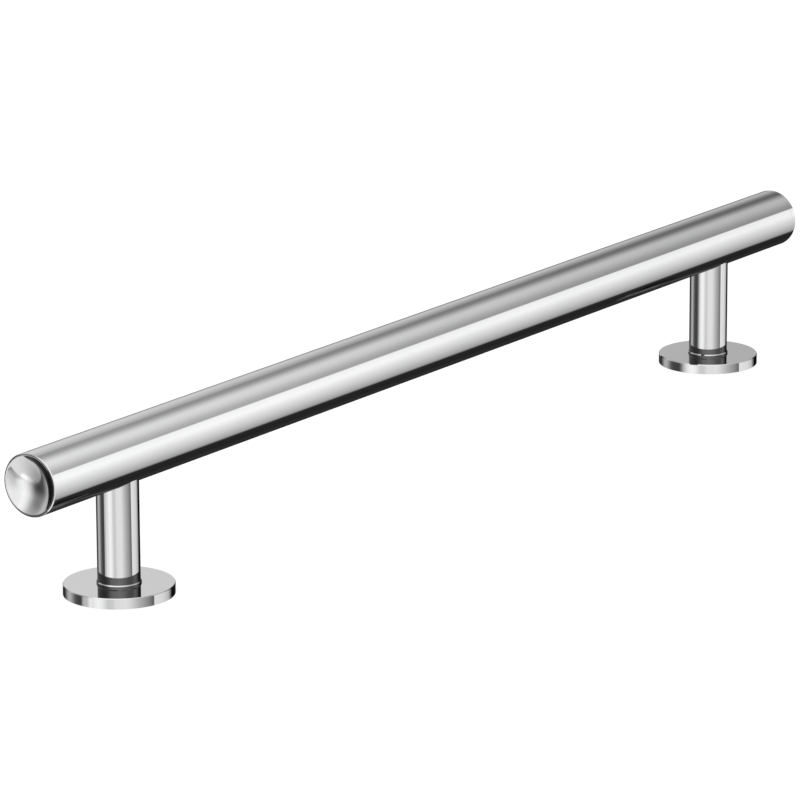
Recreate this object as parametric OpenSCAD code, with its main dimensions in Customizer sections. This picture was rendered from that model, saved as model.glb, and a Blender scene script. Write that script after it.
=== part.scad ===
// Straight grab rail with concealed fixings.
//
// A hollow round rail stands on two round posts. Each post is coped to the
// rail and pulled against it by a tie screw, which comes up through a
// mounting plate and the post into a saddle nut inside the rail. The plate
// is screwed to the deck, and a thin cover flange hides it. The cover slides
// up the post to reach the deck screws. Units are millimetres.
//
// Origin: centre of the footprint, on the deck. +X runs along the rail and
// +Z points away from the deck.

/* [Rail] */
// Overall length of the rail, over both end caps
rail_length = 536.2; // [300:0.1:900]
// Outside diameter of the rail
rail_d = 25.4; // [22:0.1:32]
// Wall thickness of the rail tube
rail_wall = 1.5; // [1:0.1:2]
// Height of the rail's axis above the deck
rail_axis_z = 56.8; // [50:0.1:80]

/* [End caps] */
// Length of the cap's head, which continues the rail's outside
cap_head = 3; // [2:0.1:5]
// Length of the spigot inside the rail
cap_spigot = 13; // [10:0.5:20]
// Slope of the dished face at its edge, in degrees
dish_slope = 38; // [20:0.5:45]
// Width of the flat rim round the dish
cap_rim = 0.35; // [0.1:0.05:1]
// Width of the gently sloping land between the rim and the dish
cap_land = 0.35; // [0.1:0.05:1]
// Slope of that land, in degrees
cap_land_slope = 10; // [0:1:20]
// Bevel on the outer edge of the rim
cap_bevel = 0.35; // [0.1:0.05:0.6]

/* [Posts] */
// Distance between the axes of the two posts
post_span = 428.8; // [200:0.1:780]
// Diameter of the posts
post_d = 17.1; // [15:0.1:20]

/* [Base] */
// Diameter of the cover flange
flange_d = 44.4; // [43.6:0.1:50]
// Height of the cover's flat top above the deck
flange_h = 4.45; // [4.3:0.05:6]
// Sheet thickness of the cover's top
cover_top = 0.7; // [0.5:0.1:0.9]
// Sheet thickness of the cover's skirt
cover_skirt = 0.9; // [0.6:0.1:1]
// Height of the steep bevel on the cover's top edge
cover_bevel = 0.35; // [0.1:0.05:0.6]
// How far the cover's rolled lip stands out from the post
lip_w = 0.4; // [0.4:0.05:0.8]
// Height of the rolled lip above the cover's flat top
lip_h = 1.1; // [0.8:0.1:2]
// Height of the lip's steep bevel
lip_bevel = 0.45; // [0.1:0.05:0.45]
// Thickness of the deck gasket
gasket_h = 0.6; // [0.4:0.1:0.8]
// Thickness of the mounting plate
plate_h = 2.8; // [2.6:0.1:2.8]

/* [Fasteners] */
// Spacing of the deck screws along the rail
deck_screw_x = 15.5; // [15:0.1:16]
// Spacing of the deck screws across the rail
deck_screw_y = 27; // [26:0.1:27.5]
// Diameter of the deck screw holes
deck_hole_d = 4.5; // [4:0.1:4.8]
// Diameter of the deck screws' heads
deck_head_d = 8.2; // [7.5:0.1:8.4]
// Thread diameter of the tie screw
tie_d = 5; // [4:1:5]
// Diameter of the tie screw's countersunk head
tie_head_d = 9.2; // [8.5:0.1:9.4]
// Length of the tie screw, with its head
tie_length = 50; // [48:1:52]

/* [Hidden] */
$fn = 96;
// How far a cutting shape runs past what it cuts
over = 1;
rail_r = rail_d / 2;
bore_r = rail_r - rail_wall;
tube_length = rail_length - 2 * cap_head;
post_r = post_d / 2;
flange_r = flange_d / 2;

// Clearances between parts that stay together, and round the sliding cover
seat_gap = 0.01;
slip_gap = 0.05;
cover_slide_gap = 0.08;
cover_deck_gap = 0.1;

// Cover flange
cover_bore_r = post_r + cover_slide_gap;
lip_r = post_r + lip_w;
// How far its two bevels lean from the vertical, in degrees
bevel_lean = 30;
skirt_in_r = flange_r - cover_skirt;

// End cap
cap_length = cap_head + cap_spigot;
dish_r = rail_r - cap_bevel - cap_rim - cap_land;
land_drop = cap_land * tan(cap_land_slope);
dish_sphere_r = dish_r / sin(dish_slope);
spigot_r = bore_r - slip_gap;
cap_ring_cord = 1.8;
cap_ring_r = bore_r - seat_gap - cap_ring_cord / 2;
cap_groove_w = 2.2;
cap_groove_x = cap_head + 7;
cap_back_bore_r = 5.5;
cap_back_bore_depth = 6;
cap_lead_in = 0.8;

// Base
plate_z = gasket_h;
plate_top = plate_z + plate_h;
plate_r = skirt_in_r - 0.7;
deck_head_h = (deck_head_d - deck_hole_d) / 2;
cover_ring_cord = 1.2;
cover_ring_r = skirt_in_r - slip_gap - cover_ring_cord / 2;
cover_groove_w = 1.4;
cover_groove_z = plate_z + 1.4;
gasket_r = plate_r - 0.4;
gasket_hole_r = 5.4;

// Tie screw, its clearance hole, nut and locating pin
tie_r = tie_d / 2;
tie_hole_r = tie_r + 0.25;
tie_head_r = tie_head_d / 2;
tie_head_h = tie_head_r - tie_r;
tie_sink = 0.2;
tie_z = plate_z + tie_sink;
tie_thread = 14;
tie_pitch = 0.8;
tie_turns = floor((tie_thread - 1) / tie_pitch);
tie_thread_depth = 0.45;
tie_tip_bevel = 0.6;
hex_af = 3;
hex_depth = 1.8;
nut_length = 22;
nut_width = 14;
nut_h = 6.5;
pin_r = 1;
pin_x = 6.2;
pin_length = 6;
pin_bevel = 0.2;
pin_in_plate = 1.8;
pin_end_gap = 0.1;
pin_z = plate_top - pin_in_plate;

SIDES = ["left", "right"];

// Puts one base's parts on the left or the right post axis, mirrored about the middle
module at_post(side) {
    if (side == "left") translate([-post_span / 2, 0, 0]) mirror([1, 0, 0]) children();
    else translate([post_span / 2, 0, 0]) children();
}

// Puts a cap's parts on one end: their own +Z runs from the cap's face into the rail
module at_end(side) {
    sign = side == "left" ? 1 : -1;
    translate([-sign * rail_length / 2, 0, rail_axis_z]) rotate([0, sign * 90, 0]) children();
}

// A round cord bent into a ring, in the plane z = 0
module cord_ring(centre_r, cord_d) {
    rotate_extrude() translate([centre_r, 0]) circle(d = cord_d);
}

// A round bar on the rail's axis
module rail_bar(r, length) {
    translate([0, 0, rail_axis_z]) rotate([0, 90, 0]) cylinder(r = r, h = length, center = true);
}

// The four deck screw axes of one base
module deck_screws() {
    for (x = [-deck_screw_x / 2, deck_screw_x / 2], y = [-deck_screw_y / 2, deck_screw_y / 2])
        translate([x, y, 0]) children();
}

module rail_tube() {
    color("lightgray") difference() {
        rail_bar(rail_r, tube_length);
        rail_bar(bore_r, tube_length + 2 * over);
        for (x = [-post_span / 2, post_span / 2]) translate([x, 0, 0])
            cylinder(r = tie_hole_r, h = rail_axis_z);
    }
}

// Plug with a dished face: the head carries on the rail's outside with no step
module end_cap(side) {
    color("whitesmoke") at_end(side) difference() {
        rotate_extrude() polygon([
            [0, land_drop],
            [dish_r, land_drop],
            [dish_r + cap_land, 0],
            [rail_r - cap_bevel, 0],
            [rail_r, cap_bevel],
            [rail_r, cap_head],
            [spigot_r, cap_head],
            [spigot_r, cap_length - cap_lead_in],
            [spigot_r - cap_lead_in, cap_length],
            [0, cap_length]
        ]);
        translate([0, 0, land_drop - dish_sphere_r * cos(dish_slope)]) sphere(r = dish_sphere_r);
        translate([0, 0, cap_groove_x - cap_groove_w / 2]) difference() {
            cylinder(r = rail_r, h = cap_groove_w);
            translate([0, 0, -over])
                cylinder(r = cap_ring_r - cap_ring_cord / 2 - slip_gap, h = cap_groove_w + 2 * over);
        }
        translate([0, 0, cap_length - cap_back_bore_depth])
            cylinder(r = cap_back_bore_r, h = cap_back_bore_depth + over);
    }
}

module cap_o_ring(side) {
    color("black") at_end(side) translate([0, 0, cap_groove_x]) cord_ring(cap_ring_r, cap_ring_cord);
}

// Solid post, coped to the rail and bored for the tie screw
module post(side) {
    color("silver") at_post(side) difference() {
        translate([0, 0, plate_top]) cylinder(r = post_r, h = rail_axis_z - plate_top);
        rail_bar(rail_r + seat_gap, 4 * post_r);
        cylinder(r = tie_hole_r, h = rail_axis_z);
        translate([pin_x, 0, 0]) cylinder(r = pin_r + seat_gap, h = pin_z + pin_length + pin_end_gap);
    }
}

// Threaded block that lies in the rail's bore and takes the tie screw
module saddle_nut(side) {
    color("dimgray") at_post(side) difference() {
        intersection() {
            rail_bar(bore_r - seat_gap, nut_length);
            translate([-nut_length, -nut_width / 2, rail_axis_z - bore_r - over])
                cube([2 * nut_length, nut_width, nut_h + over]);
        }
        cylinder(r = tie_r + seat_gap, h = rail_axis_z);
    }
}

// Countersunk screw with a hexagon socket; the threaded end has a real thread profile
module tie_screw(side) {
    thread_z = tie_length - tie_thread;
    color("gray") at_post(side) translate([0, 0, tie_z]) difference() {
        rotate_extrude() polygon(concat(
            [[0, 0], [tie_head_r, 0], [tie_r, tie_head_h], [tie_r, thread_z]],
            [for (i = [0 : tie_turns - 1]) each [
                [tie_r - tie_thread_depth, thread_z + (i + 0.5) * tie_pitch],
                [tie_r, thread_z + (i + 1) * tie_pitch]
            ]],
            [[tie_r - tie_tip_bevel, tie_length], [0, tie_length]]
        ));
        translate([0, 0, -over]) cylinder(d = hex_af / cos(30), h = hex_depth + over, $fn = 6);
    }
}

// Stops the post turning on its plate and sets the screw pattern square to the rail
module locating_pin(side) {
    color("gray") at_post(side) translate([pin_x, 0, pin_z]) rotate_extrude() polygon([
        [0, 0], [pin_r - pin_bevel, 0], [pin_r, pin_bevel],
        [pin_r, pin_length - pin_bevel], [pin_r - pin_bevel, pin_length], [0, pin_length]
    ]);
}

// Deck plate: four countersunk holes from above, and the tie screw's countersink below
module mounting_plate(side) {
    groove_in_r = cover_ring_r - cover_ring_cord / 2 - slip_gap;
    color("darkgray") at_post(side) difference() {
        translate([0, 0, plate_z]) cylinder(r = plate_r, h = plate_h);
        translate([0, 0, cover_groove_z - cover_groove_w / 2]) difference() {
            cylinder(r = flange_r, h = cover_groove_w);
            translate([0, 0, -over]) cylinder(r = groove_in_r, h = cover_groove_w + 2 * over);
        }
        deck_screws() {
            cylinder(d = deck_hole_d, h = plate_top + over);
            translate([0, 0, plate_top - deck_head_h])
                cylinder(d1 = deck_hole_d, d2 = deck_head_d + 2 * over, h = deck_head_h + over);
        }
        cylinder(r = tie_hole_r, h = plate_top + over);
        translate([0, 0, tie_z - over + seat_gap])
            cylinder(r1 = tie_head_r + over, r2 = 0, h = tie_head_r + over);
        translate([pin_x, 0, pin_z - pin_end_gap]) cylinder(r = pin_r + seat_gap, h = plate_h);
    }
}

module cover_o_ring(side) {
    color("black") at_post(side) translate([0, 0, cover_groove_z])
        cord_ring(cover_ring_r, cover_ring_cord);
}

// Thin dished cover: skirt, flat top with a bevelled edge, and a rolled lip round the post
module cover_flange(side) {
    lip_top = flange_h + lip_h;
    color("gainsboro") at_post(side) rotate_extrude() polygon([
        [skirt_in_r, cover_deck_gap],
        [flange_r, cover_deck_gap],
        [flange_r, flange_h - cover_bevel],
        [flange_r - cover_bevel * tan(bevel_lean), flange_h],
        [lip_r, flange_h],
        [lip_r, lip_top - lip_bevel],
        [lip_r - lip_bevel * tan(bevel_lean), lip_top],
        [cover_bore_r, lip_top],
        [cover_bore_r, flange_h - cover_top],
        [skirt_in_r, flange_h - cover_top]
    ]);
}

// Flat seal under the plate
module deck_gasket(side) {
    color("black") at_post(side) difference() {
        cylinder(r = gasket_r, h = gasket_h);
        translate([0, 0, -over]) cylinder(r = gasket_hole_r, h = gasket_h + 2 * over);
        translate([0, 0, -over]) deck_screws() cylinder(d = deck_hole_d, h = gasket_h + 2 * over);
    }
}

rail_tube();
for (side = SIDES) {
    end_cap(side);
    cap_o_ring(side);
    post(side);
    saddle_nut(side);
    tie_screw(side);
    locating_pin(side);
    mounting_plate(side);
    cover_o_ring(side);
    cover_flange(side);
    deck_gasket(side);
}
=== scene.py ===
"""Looks of the grab rail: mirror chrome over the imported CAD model, in a soft strip-lit studio."""
import math

import bpy
from mathutils import Matrix, Vector


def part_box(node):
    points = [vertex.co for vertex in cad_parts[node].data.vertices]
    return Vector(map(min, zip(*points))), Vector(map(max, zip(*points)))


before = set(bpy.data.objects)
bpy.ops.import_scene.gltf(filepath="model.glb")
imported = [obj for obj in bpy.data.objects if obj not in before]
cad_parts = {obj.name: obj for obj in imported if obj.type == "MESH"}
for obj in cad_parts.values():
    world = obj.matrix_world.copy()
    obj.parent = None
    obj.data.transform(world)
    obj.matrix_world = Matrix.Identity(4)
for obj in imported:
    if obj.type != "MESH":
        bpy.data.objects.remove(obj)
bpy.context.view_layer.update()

SIDES = ("left", "right")
MM = 0.001
WHITE = (1, 1, 1, 1)
BLACK = (0, 0, 0, 1)
FULL_TURN = 360
TO_DEGREES = 180 / math.pi

# ------------------------------------------------------------------ sizes from the frame

rail_low, rail_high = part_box("rail_tube")
RAIL_R = (rail_high.z - rail_low.z) / 2
RAIL_Z = (rail_high.z + rail_low.z) / 2
TUBE_END = rail_high.x  # the caps stand out beyond it


def axis_x(node):
    """Where a node's own middle lies along the rail."""
    low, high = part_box(node)
    return (low.x + high.x) / 2


# ------------------------------------------------------------------ camera

VIEW_TURN = 35.763  # which way the camera looks, from the rail's axis towards +Y, in degrees
VIEW_DOWN = 15.365  # how far it looks down
VIEW_ROLL = -0.236
VIEW_LENS = 248.6  # mm
SENSOR_WIDTH = 36  # mm
VIEW_CLIP = (0.05, 60)  # m
CAMERA_AT = Vector((-72.22, -51.31, 25.54)) * 2 * RAIL_R  # the numbers are in rail diameters


def make_camera():
    turn, down, roll = (math.radians(angle) for angle in (VIEW_TURN, VIEW_DOWN, VIEW_ROLL))
    level_part = math.cos(down)
    forward = Vector((math.cos(turn) * level_part, math.sin(turn) * level_part, -math.sin(down)))
    level = Vector((math.sin(turn), -math.cos(turn), 0))
    upright = level.cross(forward)
    right = math.cos(roll) * level + math.sin(roll) * upright
    up = math.cos(roll) * upright - math.sin(roll) * level
    facing = Matrix((right, up, -forward)).transposed().to_4x4()
    camera = bpy.data.objects.new("camera", bpy.data.cameras.new("camera"))
    camera.matrix_world = Matrix.Translation(CAMERA_AT) @ facing
    camera.data.sensor_width = SENSOR_WIDTH
    camera.data.lens = VIEW_LENS
    camera.data.clip_start, camera.data.clip_end = VIEW_CLIP
    bpy.context.scene.collection.objects.link(camera)
    bpy.context.scene.camera = camera


# ------------------------------------------------------------------ node helpers

CHROME_GREY = 0.86  # how much light polished chrome gives back

# Which sockets of a Mix node hold the factor, the two values and the result, by kind of data
MIX_SOCKETS = {"FLOAT": (0, 2, 3, 0), "RGBA": (0, 6, 7, 2)}


def linear(grey):
    """The light that a screen shows as this grey: the sRGB curve."""
    return ((grey + 0.055) / 1.055) ** 2.4 if grey > 0.04 else grey / 12.92


def shade_of(grey):
    """The light that polished chrome mirrors as this grey."""
    light = linear(grey) / CHROME_GREY
    return (light, light, light, 1)


class Nodes:
    """Short calls that add nodes to one tree and return their output sockets."""

    def __init__(self, tree):
        self.tree = tree
        tree.nodes.clear()

    def add(self, kind, **settings):
        node = self.tree.nodes.new(kind)
        for name, value in settings.items():
            setattr(node, name, value)
        return node

    def put(self, socket, value):
        if isinstance(value, bpy.types.NodeSocket):
            self.tree.links.new(value, socket)
        else:
            socket.default_value = value

    def split(self, vector):
        node = self.add("ShaderNodeSeparateXYZ")
        self.put(node.inputs[0], vector)
        return node.outputs

    def math(self, operation, *values):
        node = self.add("ShaderNodeMath", operation=operation)
        for socket, value in zip(node.inputs, values):
            self.put(socket, value)
        return node.outputs[0]

    def degrees(self, operation, *values):
        """An angle from an inverse function, in degrees."""
        return self.math("MULTIPLY", self.math(operation, *values), TO_DEGREES)

    def turn(self, up, along, start=0):
        """The angle in a plane, from 0 to 360, that is start degrees at the first axis."""
        angle = self.math("ADD", self.degrees("ARCTAN2", up, along), start + FULL_TURN)
        return self.math("MODULO", angle, FULL_TURN)

    def rise(self, value, low, high, to_low=0.0, to_high=1.0):
        """A smooth step from to_low to to_high as value goes from low to high."""
        node = self.add("ShaderNodeMapRange", interpolation_type="SMOOTHSTEP", clamp=True)
        for socket, number in zip(node.inputs, (value, low, high, to_low, to_high)):
            self.put(socket, number)
        return node.outputs[0]

    def bump_of(self, value, centre, half_width):
        """One at centre, falling smoothly to nothing half_width away."""
        away = self.math("ABSOLUTE", self.math("SUBTRACT", value, centre))
        return self.rise(away, 0.0, half_width, 1.0, 0.0)

    def mix(self, factor, a, b, kind="FLOAT"):
        node = self.add("ShaderNodeMix", data_type=kind)
        *places, result = MIX_SOCKETS[kind]
        for place, value in zip(places, (factor, a, b)):
            self.put(node.inputs[place], value)
        return node.outputs[result]

    def mix_colour(self, factor, a, b):
        return self.mix(factor, a, b, "RGBA")

    def greys(self, degrees, stops):
        """A run of greys over 0 to 360 degrees, as the polished chrome shows them."""
        ramp = self.add("ShaderNodeValToRGB")
        elements = ramp.color_ramp.elements
        for angle, _ in stops[1:-1]:
            elements.new(angle / FULL_TURN)
        for element, (angle, grey) in zip(elements, stops):
            element.position = angle / FULL_TURN
            element.color = shade_of(grey)
        self.put(ramp.inputs[0], self.math("DIVIDE", degrees, FULL_TURN))
        return ramp.outputs[0]


# ------------------------------------------------------------------ studio: strips and panels

# The studio is a world at infinity that only mirrors see. Its places are directions: a turn round
# a post from +X towards +Y, an angle round the rail (0 is below, 90 behind, 180 above), a height
# above level, and an angle off the rail's axis, all in degrees. Lists hold (angle, grey) stops.
# A step is (from, to) in degrees and then the values it goes between, if they aren't 0 and 1, and
# a bump is (centre, half width).

MATT_LIGHT = 1.1  # what lights the floor and everything matt

# Strip lights and flags that run beside the rail, by the angle round it
STRIPS = (
    (0, 0.13), (22, 0.17), (40, 0.17), (52, 0.12), (66, 0.13),
    (74, 0.2), (80, 0.42), (88, 0.65), (96, 0.75), (106, 0.81), (124, 0.79), (142, 0.72),
    (154, 0.585), (166, 0.645), (178, 0.79), (190, 0.885), (202, 0.875), (214, 0.815),
    (226, 0.73), (239.6, 0.67),
    (241.2, 0.95), (256, 0.975), (264, 0.98), (274, 0.935), (286, 0.875), (298, 0.815),
    (310, 0.745), (322, 0.665), (329, 0.6), (334, 0.19), (337, 0.15), (360, 0.13),
)
# Upright panels beyond the left end, by the turn
PANELS = (
    (0, 0.15), (66, 0.15), (73, 0.22), (81, 0.45), (89, 0.64), (96, 0.68), (104, 0.61),
    (111, 0.46), (118, 0.31), (128, 0.25), (142, 0.26), (148, 0.46), (153, 0.67), (160, 0.83),
    (166, 0.91), (175, 0.95), (185, 0.91), (195, 0.78), (204, 0.79), (212, 0.86), (232, 0.87),
    (240, 0.84), (250, 0.76), (260, 0.68), (270, 0.61), (280, 0.53), (292, 0.37), (360, 0.3),
)
# The same panels higher up, where the dished end sees them
HIGH_PANELS = (
    (0, 0.15), (80, 0.15), (90, 0.56), (97, 0.7), (104, 0.73), (111, 0.61), (119, 0.5),
    (130, 0.47), (140, 0.52), (146, 0.62), (152, 0.74), (162, 0.9), (173, 0.97), (186, 0.92),
    (198, 0.91), (210, 0.93), (232, 0.9), (250, 0.8), (270, 0.65), (292, 0.5), (360, 0.3),
)
HIGH_FROM = (165, 195, -9, -18)  # over the turn: the height where the high panels begin
HIGH_TO = 12  # the height where they have taken over
TOP_LIFT = (15, 50, 0, 0.35)  # over the height: how far the panels go towards TOP_GREY
TOP_GREY = 0.95
PANEL_EDGE = (-18, -14, 66.4, 69.6)  # over the height: the angle off the axis where panels begin
PANEL_EDGE_BLUR = (-0.6, 0.6)
PANEL_TOP = (45, 80, 1, 0)  # over the height: how much of the panels shows
PANEL_BOTTOM = (-60, -38)
PANEL_LOW_FROM = -27  # between this height and the next, the panels grow from PANEL_LOW to full
PANEL_LOW_TO = (-17, -13)
PANEL_LOW_BUMP = (202, 32)  # over the turn: from the first of those heights to the second
PANEL_LOW = 0.62

# Towards the rail's far end the key strip widens and the overhead ones fade
FAR_END = (33, 44, 1, 0)  # over the angle off the axis
KEY_MIDDLE = 285
KEY_WIDEN = 0.06
KEY_WIDEN_FROM = (90, 130)
OVERHEAD = ((80, 130), (234, 240, 1, 0))
OVERHEAD_LOSS = 0.32
FAR_LOSSES = ((0.24, (150, 34)), (0.3, (92, 14)))  # each with its bump round the rail
FAR_LOSS = 0.08
NEAR_AXIS = ((20, 28, 0.42, 1), (16, 19.5, 0.16, 1))  # over the angle off the axis


class Direction:
    """The direction in which a ray leaves for the studio, as a vector and as its angles."""

    def __init__(self, n):
        self.vector = n.add("ShaderNodeTexCoord").outputs["Generated"]
        x, y, z = n.split(self.vector)
        self.turn = n.turn(y, x)
        self.round_rail = n.turn(z, y, start=90)
        self.height = n.degrees("ARCSINE", z)
        self.off_axis = n.degrees("ARCCOSINE", x)


def strips_of(n, ray):
    far = n.rise(ray.off_axis, *FAR_END)
    widen = n.math("MULTIPLY", n.math("SUBTRACT", KEY_MIDDLE, ray.round_rail), KEY_WIDEN)
    widen = n.math("MULTIPLY", widen, n.rise(ray.round_rail, *KEY_WIDEN_FROM))
    strips = n.greys(n.math("ADD", ray.round_rail, n.math("MULTIPLY", widen, far)), STRIPS)
    overhead = n.math("MULTIPLY", *(n.rise(ray.round_rail, *step) for step in OVERHEAD))
    lost = n.math("MULTIPLY", overhead, OVERHEAD_LOSS)
    for loss, bump in FAR_LOSSES:
        lost = n.math("ADD", lost, n.math("MULTIPLY", n.bump_of(ray.round_rail, *bump), loss))
    keep = n.math("SUBTRACT", 1.0, n.math("MULTIPLY", far, n.math("ADD", lost, FAR_LOSS)))
    for step in NEAR_AXIS:
        keep = n.math("MULTIPLY", keep, n.rise(ray.off_axis, *step))
    return n.mix_colour(keep, BLACK, strips)


def panels_of(n, ray):
    """The panels' light, and how much of them shows in front of the strips."""
    raised = n.rise(ray.height, n.rise(ray.turn, *HIGH_FROM), HIGH_TO)
    panels = n.mix_colour(raised, n.greys(ray.turn, PANELS), n.greys(ray.turn, HIGH_PANELS))
    panels = n.mix_colour(n.rise(ray.height, *TOP_LIFT), panels, shade_of(TOP_GREY))
    edge = n.rise(ray.height, *PANEL_EDGE)
    beyond = n.rise(n.math("SUBTRACT", ray.off_axis, edge), *PANEL_EDGE_BLUR)
    shown = n.math("MULTIPLY", *(n.rise(ray.height, *step) for step in (PANEL_TOP, PANEL_BOTTOM)))
    low_to = n.mix(n.bump_of(ray.turn, *PANEL_LOW_BUMP), *PANEL_LOW_TO)
    low = n.rise(ray.height, PANEL_LOW_FROM, low_to, PANEL_LOW, 1.0)
    return panels, n.math("MULTIPLY", beyond, n.math("MULTIPLY", shown, low))


# ------------------------------------------------------------------ studio: reflector and card

# Places are (turn, height), and steps go over the degrees away from them
CARD_AT = (228, -62)
CARD_EDGE = (16, 22, 1, 0)
CARD_GREY = 0.9
BELOW = (-84, -72, 0.5, 0)  # over the height: how much of the card's light lies straight below
DISC_AT = (148.7, -47.2)
DISC_EDGE = (31.1, 32.1, 1, 0)
NOTCH_AT = (139.6, -15.5)  # a bite out of the disc, which the caps' flat rims mirror
NOTCH_EDGE = (1.1, 1.9)
SOFT_SIDE_AT = (84, -52)
SOFT_SIDE = (10, 16)
ACROSS_FROM = (124, -24)
ACROSS = (0, 54)
ACROSS_GREYS = (0.62, 0.86)
GLOWS = (((171, -24), 13, 1), ((160, -20.5), 11, 0.5))  # place, size and strength
GLOW_CORE = 0.38  # how much of a glow's size is at full strength


def patch(n, ray, centre, *step):
    """A round patch: a smooth step over the degrees from the direction at centre."""
    turn, rise = (math.radians(angle) for angle in centre)
    dot = n.add("ShaderNodeVectorMath", operation="DOT_PRODUCT")
    n.put(dot.inputs[0], ray.vector)
    level = math.cos(rise)
    n.put(dot.inputs[1], (level * math.cos(turn), level * math.sin(turn), math.sin(rise)))
    return n.rise(n.degrees("ARCCOSINE", dot.outputs["Value"]), *step)


def with_reflector(n, ray, studio):
    """The studio with a round reflector below the left end, and a white card beside it."""
    white = shade_of(CARD_GREY)
    studio = n.mix_colour(patch(n, ray, CARD_AT, *CARD_EDGE), studio, white)
    studio = n.mix_colour(n.rise(ray.height, *BELOW), studio, white)
    disc = patch(n, ray, DISC_AT, *DISC_EDGE)
    disc = n.math("MULTIPLY", disc, patch(n, ray, NOTCH_AT, *NOTCH_EDGE))
    disc = n.math("MULTIPLY", disc, patch(n, ray, SOFT_SIDE_AT, *SOFT_SIDE))
    light = n.mix_colour(patch(n, ray, ACROSS_FROM, *ACROSS), *map(shade_of, ACROSS_GREYS))
    for centre, size, strength in GLOWS:
        glow = patch(n, ray, centre, GLOW_CORE * size, size, strength, 0.0)
        light = n.mix_colour(glow, light, shade_of(1.0))
    return n.mix_colour(disc, studio, light)


# ------------------------------------------------------------------ studio: second reflections

# What is left of the studio in a reflection of a reflection, by the turn
SECOND_BOUNCE = (
    (0, 0.06), (14, 0.1), (62, 0.4), (80, 0.28), (92, 0.235), (128, 0.17), (146, 0.18),
    (162, 0.27), (175, 0.36), (184, 0.39), (205, 0.41), (218, 0.43), (235, 0.41), (252, 0.37),
    (270, 0.3), (290, 0.28), (302, 0.32), (316, 0.36), (326, 0.3), (338, 0.2), (348, 0.08),
    (360, 0.06),
)
SECOND_FLAG_HEIGHTS = ((-34, -20), (9, 15, 1, 0))
SECOND_FLAG_BUMP = (126, 30)
SECOND_FLAG_GREY = 0.06
SECOND_LOW_BUMP = (190, 55)
SECOND_LOW_GREYS = (0.16, 0.3)
SECOND_LOW = (-36, -18)  # over the height: from the low greys to the list above
FIRST_DEPTH = 1.5  # a ray with a lower glossy depth has met one mirror only


def second_bounce(n, ray):
    again = n.greys(ray.turn, SECOND_BOUNCE)
    flag = n.math("MULTIPLY", *(n.rise(ray.height, *step) for step in SECOND_FLAG_HEIGHTS))
    flag = n.math("MULTIPLY", flag, n.bump_of(ray.turn, *SECOND_FLAG_BUMP))
    again = n.mix_colour(flag, again, shade_of(SECOND_FLAG_GREY))
    low = n.mix_colour(n.bump_of(ray.turn, *SECOND_LOW_BUMP), *map(shade_of, SECOND_LOW_GREYS))
    return n.mix_colour(n.rise(ray.height, *SECOND_LOW), low, again)


def make_world():
    world = bpy.data.worlds.new("studio")
    bpy.context.scene.world = world
    world.use_nodes = True
    n = Nodes(world.node_tree)
    ray = Direction(n)
    panels, shown = panels_of(n, ray)
    studio = with_reflector(n, ray, n.mix_colour(shown, strips_of(n, ray), panels))
    path = n.add("ShaderNodeLightPath")
    first = n.math("LESS_THAN", path.outputs["Glossy Depth"], FIRST_DEPTH)
    mirrored = n.add("ShaderNodeBackground")
    n.put(mirrored.inputs["Color"], n.mix_colour(first, second_bounce(n, ray), studio))
    plain = n.add("ShaderNodeBackground")
    n.put(plain.inputs["Color"], WHITE)
    n.put(plain.inputs["Strength"], MATT_LIGHT)
    either = n.add("ShaderNodeMixShader")
    lights = (path.outputs["Is Glossy Ray"], plain.outputs[0], mirrored.outputs[0])
    for socket, light in zip(either.inputs, lights):
        n.put(socket, light)
    n.put(n.add("ShaderNodeOutputWorld").inputs["Surface"], either.outputs[0])


# ------------------------------------------------------------------ floor

FLOOR_HALF = 20  # m
FLOOR_GREY = 0.2
FLOOR_GLOW = 0.84


def make_floor():
    mesh = bpy.data.meshes.new("floor")
    corners = [(-1, -1, 0), (1, -1, 0), (1, 1, 0), (-1, 1, 0)]
    mesh.from_pydata([Vector(corner) * FLOOR_HALF for corner in corners], [], [(0, 1, 2, 3)])
    floor = bpy.data.objects.new("floor", mesh)
    bpy.context.scene.collection.objects.link(floor)
    floor.visible_glossy = False
    material = bpy.data.materials.new("floor_white")
    material.use_nodes = True
    shader = material.node_tree.nodes["Principled BSDF"]
    shader.inputs["Base Color"].default_value = (FLOOR_GREY, FLOOR_GREY, FLOOR_GREY, 1)
    shader.inputs["Roughness"].default_value = 1
    shader.inputs["Emission Color"].default_value = WHITE
    shader.inputs["Emission Strength"].default_value = FLOOR_GLOW
    shader.inputs["Specular IOR Level"].default_value = 0
    mesh.materials.append(material)


# ------------------------------------------------------------------ materials

NOISE_MIDDLE = (0.3, 0.7)  # the range that noise mostly stays in


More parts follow.
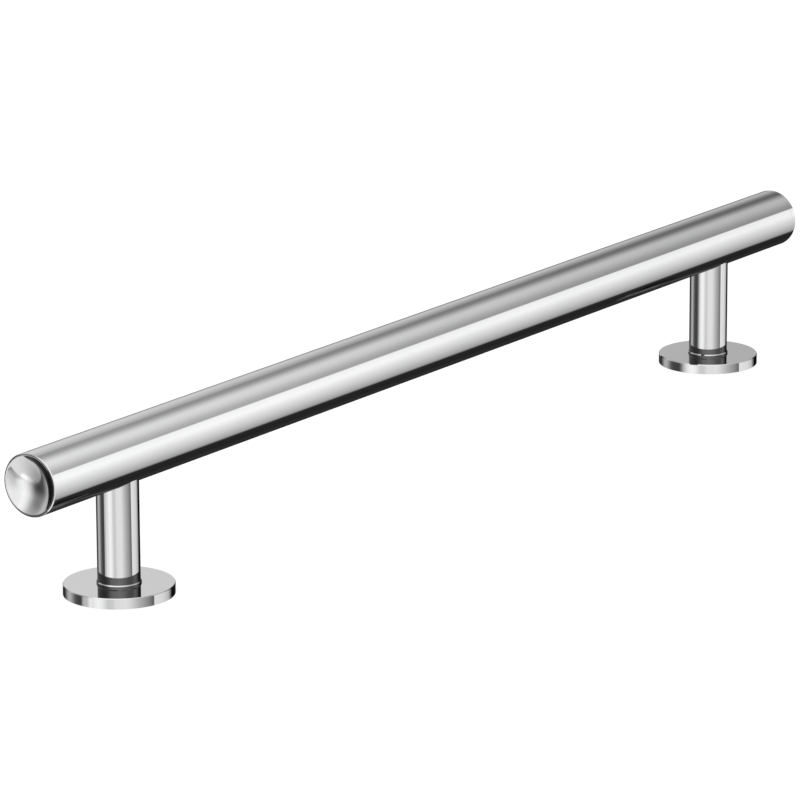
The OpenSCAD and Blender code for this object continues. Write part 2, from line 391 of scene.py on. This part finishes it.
class Surface(Nodes):
    """One metal or rubber finish, whose marks lie round an axis: the rail's own, or a post's."""

    def __init__(self, name, post_x=None):
        self.material = bpy.data.materials.new(name)
        self.material.use_nodes = True
        super().__init__(self.material.node_tree)
        self.shader = self.add("ShaderNodeBsdfPrincipled")
        output = self.add("ShaderNodeOutputMaterial")
        self.put(output.inputs["Surface"], self.shader.outputs[0])
        self.point = self.add("ShaderNodeTexCoord").outputs["Object"]
        centre = (0, 0, RAIL_Z) if post_x is None else (post_x, 0, 0)
        x, y, z = self.split(self.vector("SUBTRACT", self.point, centre))
        self.along, self.across, self.upright = (x, y, z) if post_x is None else (z, x, y)
        squares = (self.math("MULTIPLY", side, side) for side in (self.across, self.upright))
        self.radius = self.math("SQRT", self.math("ADD", *squares))

    def vector(self, operation, *values):
        node = self.add("ShaderNodeVectorMath", operation=operation)
        for socket, value in zip(node.inputs, values):
            self.put(socket, value)
        return node.outputs[0]

    def noise(self, size, detail=2.0, vector=None, w=None):
        """Noise between 0 and 1 whose lumps are about size metres across."""
        node = self.add("ShaderNodeTexNoise", noise_dimensions="3D" if w is None else "4D")
        self.put(node.inputs["Vector"], self.point if vector is None else vector)
        if w is not None:
            self.put(node.inputs["W"], w)
        node.inputs["Scale"].default_value = 1 / size
        node.inputs["Detail"].default_value = detail
        return node.outputs[0]

    def rings(self, pitch, turns=2.0):
        """Fine marks that run round the axis, as polishing and turning leave them."""
        aside = self.add("ShaderNodeCombineXYZ")
        self.put(aside.inputs[0], self.math("DIVIDE", self.along, pitch))
        for socket, side in zip(aside.inputs[1:], (self.across, self.upright)):
            self.put(socket, self.math("MULTIPLY", self.math("DIVIDE", side, self.radius), turns))
        outward = self.math("DIVIDE", self.radius, pitch)
        return self.noise(1.0, vector=aside.outputs[0], w=outward)

    def lines(self, pitch, run):
        """Fine straight marks along X."""
        return self.noise(1.0, vector=self.vector("DIVIDE", self.point, (run, pitch, pitch)))

    def between(self, factor, low, high):
        """A colour or number from low to high as a noise goes through its usual range."""
        even = self.rise(factor, *NOISE_MIDDLE)
        if isinstance(low, tuple):
            return self.mix_colour(even, (*low, 1), (*high, 1))
        return self.mix(even, low, high)

    def within(self, radius, blur=0.2 * MM):
        """One inside a bore of this radius, nothing outside it."""
        return self.rise(self.radius, radius - blur, radius + blur, 1.0, 0.0)

    def colour(self, value):
        self.put(self.shader.inputs["Base Color"], value)

    def roughness(self, value):
        self.put(self.shader.inputs["Roughness"], value)

    def metal(self):
        self.shader.inputs["Metallic"].default_value = 1

    def bumps(self, *layers):
        """Layers of (height, depth in metres), each laid on the one before."""
        normal = None
        for height, depth in layers:
            bump = self.add("ShaderNodeBump")
            self.put(bump.inputs["Height"], height)
            bump.inputs["Distance"].default_value = depth
            if normal is not None:
                self.put(bump.inputs["Normal"], normal)
            normal = bump.outputs[0]
        self.put(self.shader.inputs["Normal"], normal)


CHROME_TINT = ((0.845, 0.848, 0.852), (0.872, 0.873, 0.874))
CHROME_GLOSS = (0.018, 0.036)
TINT_SIZE = 60 * MM
HAZE_SIZE, HAZE_DETAIL = 26 * MM, 4.0
MARKS_GLOSS = 0.012  # how much the polishing marks add to the roughness
MARKS_DEPTH = 0.0004 * MM
RIPPLE_SIZE, RIPPLE_DETAIL, RIPPLE_DEPTH = 7 * MM, 1.0, 0.0024 * MM
AS_TURNED_TINT = (0.6, 0.59, 0.58, 1)
AS_TURNED_GLOSS = (0.24, 0.36)


def polished(surface, pitch, hidden=None):
    """Mirror chrome with faint polishing marks, ripple and haze; hidden parts stay as turned."""
    marks = surface.rings(pitch)
    haze = surface.noise(HAZE_SIZE, HAZE_DETAIL)
    tint = surface.between(surface.noise(TINT_SIZE), *CHROME_TINT)
    gloss = surface.between(haze, *CHROME_GLOSS)
    gloss = surface.math("ADD", gloss, surface.math("MULTIPLY", marks, MARKS_GLOSS))
    if hidden is not None:
        tint = surface.mix_colour(hidden, tint, AS_TURNED_TINT)
        gloss = surface.mix(hidden, gloss, surface.between(marks, *AS_TURNED_GLOSS))
    surface.metal()
    surface.colour(tint)
    surface.roughness(gloss)
    surface.bumps((marks, MARKS_DEPTH), (surface.noise(RIPPLE_SIZE, RIPPLE_DETAIL), RIPPLE_DEPTH))
    return surface.material


RAIL_MARKS, POST_MARKS, CAP_MARKS, COVER_MARKS = 0.45 * MM, 0.4 * MM, 0.3 * MM, 0.28 * MM
BORE_DEPTH = 1 * MM  # how far under the rail's outside it is left as turned
SPIGOT_BLUR = 2 * MM
POST_BORE_R, POST_BORE_BLUR = 3.5 * MM, 0.5 * MM


def chrome_rail():
    surface = Surface("chrome_rail")
    return polished(surface, RAIL_MARKS, surface.within(RAIL_R - BORE_DEPTH))


def chrome_cap():
    surface = Surface("chrome_cap")
    out = surface.math("ABSOLUTE", surface.along)
    spigot = surface.rise(out, TUBE_END - SPIGOT_BLUR, TUBE_END, 1.0, 0.0)
    return polished(surface, CAP_MARKS, spigot)


def chrome_post(side):
    surface = Surface("chrome_post_" + side, axis_x("post_" + side))
    return polished(surface, POST_MARKS, surface.within(POST_BORE_R, POST_BORE_BLUR))


def chrome_cover(side):
    return polished(Surface("chrome_cover_" + side, axis_x("cover_flange_" + side)), COVER_MARKS)


GRAIN_DEPTH = 0.002 * MM
BLOTCH_DETAIL = 3.0
PLATE_TINT = ((0.5, 0.495, 0.485), (0.6, 0.595, 0.585))
PLATE_GLOSS = (0.2, 0.36)
NUT_TINT = ((0.46, 0.455, 0.45), (0.56, 0.555, 0.545))
NUT_GLOSS = (0.26, 0.42)
FASTENER_TINT = ((0.58, 0.575, 0.565), (0.68, 0.675, 0.665))
FASTENER_GLOSS = (0.2, 0.32)


def worked_steel(surface, marks, depth, blotch, tint, gloss, grain=None):
    """Bare steel with the marks of its tool, blotches, and a still finer grain; sizes in mm."""
    surface.metal()
    surface.colour(surface.between(surface.noise(blotch * MM, BLOTCH_DETAIL), *tint))
    surface.roughness(surface.between(marks, *gloss))
    layers = [(marks, depth * MM)]
    if grain is not None:
        layers.append((surface.noise(grain * MM), GRAIN_DEPTH))
    surface.bumps(*layers)
    return surface.material


def turned_steel(side):
    """The mounting plates: rings left by the facing tool."""
    surface = Surface("turned_steel_" + side, axis_x("mounting_plate_" + side))
    rings = surface.rings(pitch=0.35 * MM, turns=0.6)
    return worked_steel(surface, rings, depth=0.012, blotch=9, tint=PLATE_TINT, gloss=PLATE_GLOSS,
                        grain=0.5)


def milled_steel():
    """The saddle nuts: straight cutter marks."""
    surface = Surface("milled_steel")
    lines = surface.lines(pitch=0.25 * MM, run=9 * MM)
    return worked_steel(surface, lines, depth=0.008, blotch=6, tint=NUT_TINT, gloss=NUT_GLOSS)


def fastener_steel(side):
    """Screws and pins: bright stainless with marks round them."""
    surface = Surface("fastener_steel_" + side, axis_x("tie_screw_" + side))
    rings = surface.rings(pitch=0.12 * MM)
    return worked_steel(surface, rings, depth=0.003, blotch=3, tint=FASTENER_TINT,
                        gloss=FASTENER_GLOSS, grain=0.4)


RUBBER_TINT = ((0.014, 0.014, 0.015), (0.034, 0.034, 0.035))
RUBBER_GLOSS = (0.56, 0.74)
BLOOM_SIZE, BLOOM_DETAIL = 5 * MM, 5.0
RUBBER_GRAIN_DETAIL = 3.0


def rubber(name, grain, depth):
    """Black rubber with a dusty bloom on a fine grain; sizes in mm."""
    surface = Surface(name)
    bloom = surface.noise(BLOOM_SIZE, BLOOM_DETAIL)
    surface.colour(surface.between(bloom, *RUBBER_TINT))
    surface.roughness(surface.between(bloom, *RUBBER_GLOSS))
    surface.bumps((surface.noise(grain * MM, RUBBER_GRAIN_DETAIL), depth * MM))
    return surface.material


def dress(material, *names):
    for name in names:
        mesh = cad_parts[name].data
        mesh.materials.clear()
        mesh.materials.append(material)


def dress_all():
    dress(chrome_rail(), "rail_tube")
    cap, nut = chrome_cap(), milled_steel()
    moulded = rubber("ring_rubber", grain=0.3, depth=0.006)
    sheet = rubber("gasket_rubber", grain=0.6, depth=0.03)
    for side in SIDES:
        dress(cap, "end_cap_" + side)
        dress(chrome_post(side), "post_" + side)
        dress(chrome_cover(side), "cover_flange_" + side)
        dress(turned_steel(side), "mounting_plate_" + side)
        dress(nut, "saddle_nut_" + side)
        dress(fastener_steel(side), "tie_screw_" + side, "locating_pin_" + side)
        dress(moulded, "cap_o_ring_" + side, "cover_o_ring_" + side)
        dress(sheet, "deck_gasket_" + side)


make_camera()
make_world()
make_floor()
dress_all()

bpy.context.scene.view_settings.view_transform = "Standard"
